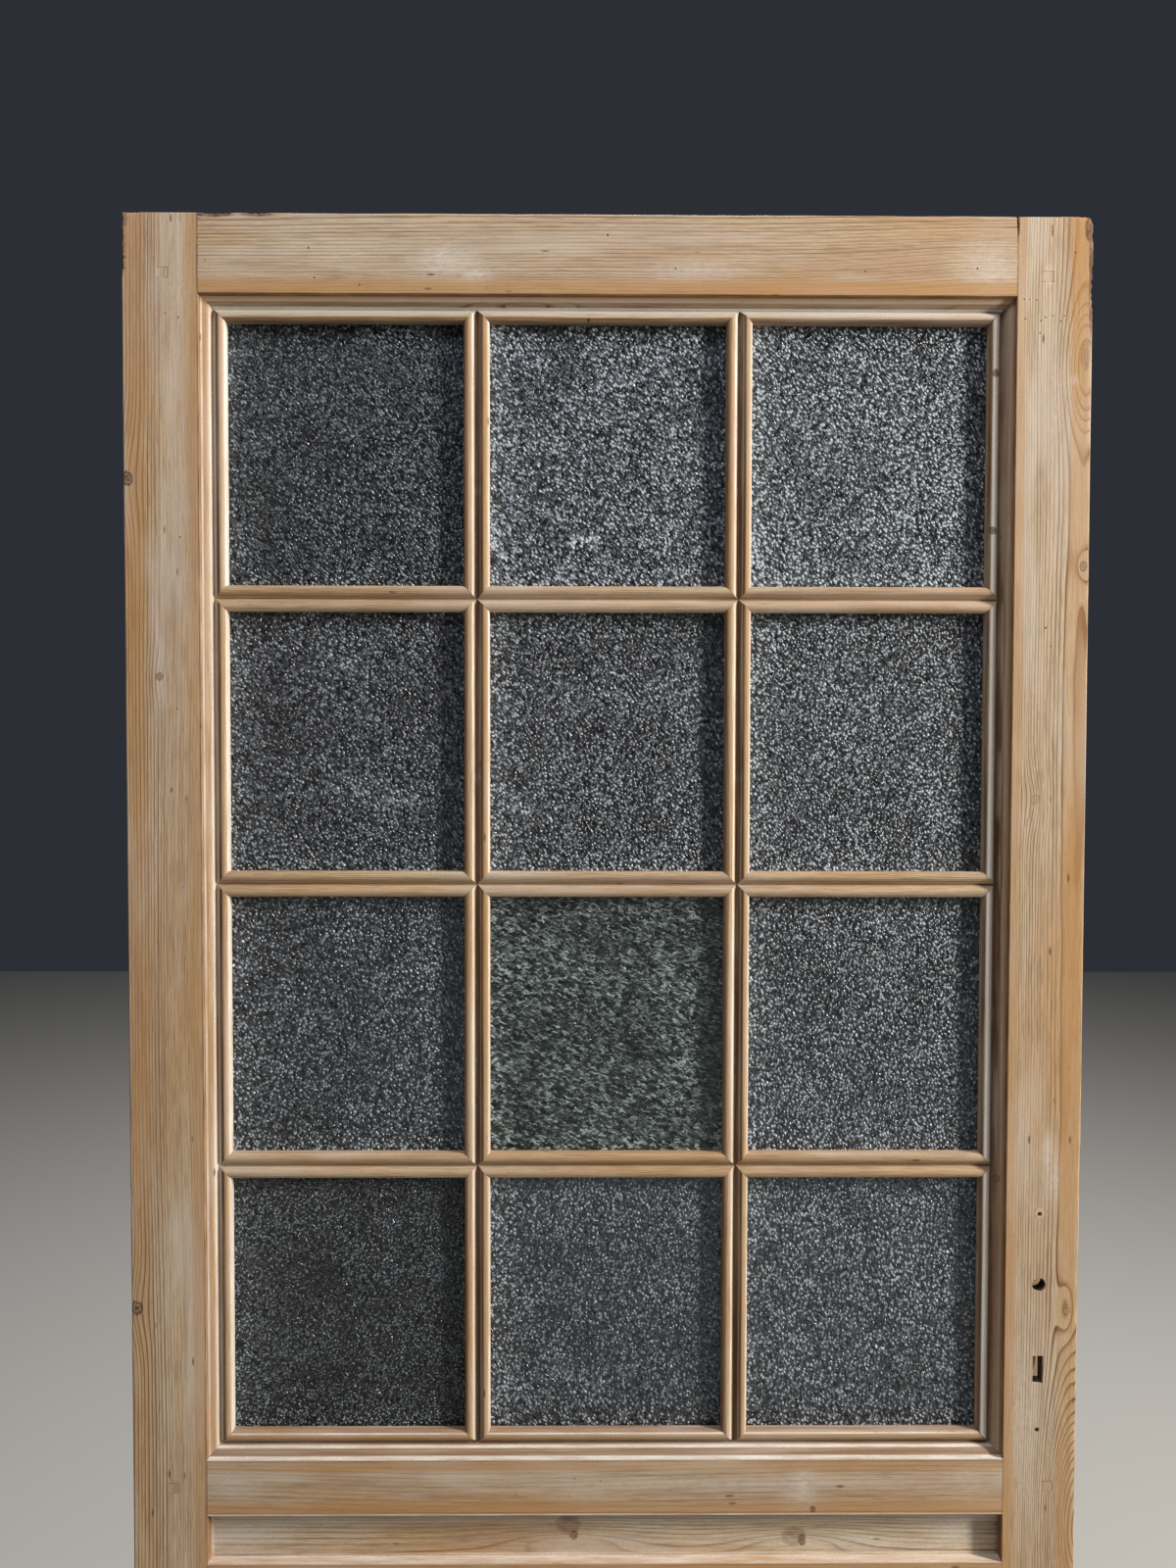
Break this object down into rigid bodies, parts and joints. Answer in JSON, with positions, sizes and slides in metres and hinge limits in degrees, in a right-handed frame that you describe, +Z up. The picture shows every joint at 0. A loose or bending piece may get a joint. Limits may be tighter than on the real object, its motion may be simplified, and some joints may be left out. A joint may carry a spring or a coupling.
{
  "type": "half-glazed entrance door leaf",
  "caption": "Framed and pegged pine door leaf, glazed above in a grid of patterned panes held by moulded bars, with a narrow panel and a plain panel below and bare holes for a lock.",
  "frame": {"origin": "on the hinge edge's flat face at the foot of the leaf, in the middle of its thickness", "axes": "+X across the leaf from the hinge edge to the lock edge, -Y out of the moulded front face, +Z up"},
  "size_m": [0.9, 0.042, 2.04],
  "materials": {
    "pine": "stripped, waxless, with traces of lime",
    "bead_wood": "plain, weathered",
    "peg_wood": "dry end grain",
    "glass": "rolled pattern, grimy"
  },
  "bodies": {
    "root": {"beads_1_left": "bead_wood", "beads_1_middle": "bead_wood", "beads_1_right": "bead_wood", "beads_2_left": "bead_wood", "beads_2_middle": "bead_wood", "beads_2_right": "bead_wood", "beads_3_left": "bead_wood", "beads_3_middle": "bead_wood", "beads_3_right": "bead_wood", "beads_4_left": "bead_wood", "beads_4_middle": "bead_wood", "beads_4_right": "bead_wood", "bottom_rail": "pine", "bottom_rail_pegs": "peg_wood", "cross_bars_1": "pine", "cross_bars_2": "pine", "cross_bars_3": "pine", "cross_rail": "pine", "cross_rail_pegs": "peg_wood", "frieze_panel": "pine", "hinge_stile": "pine", "lock_rail": "pine", "lock_rail_pegs": "peg_wood", "lock_stile": "pine", "lower_panel": "pine", "pane_1_left": "glass", "pane_1_middle": "glass", "pane_1_right": "glass", "pane_2_left": "glass", "pane_2_middle": "glass", "pane_2_right": "glass", "pane_3_left": "glass", "pane_3_middle": "glass", "pane_3_right": "glass", "pane_4_left": "glass", "pane_4_middle": "glass", "pane_4_right": "glass", "top_rail": "pine", "top_rail_pegs": "peg_wood", "upright_bar_left": "pine", "upright_bar_right": "pine"}
  },
  "joints": []
}
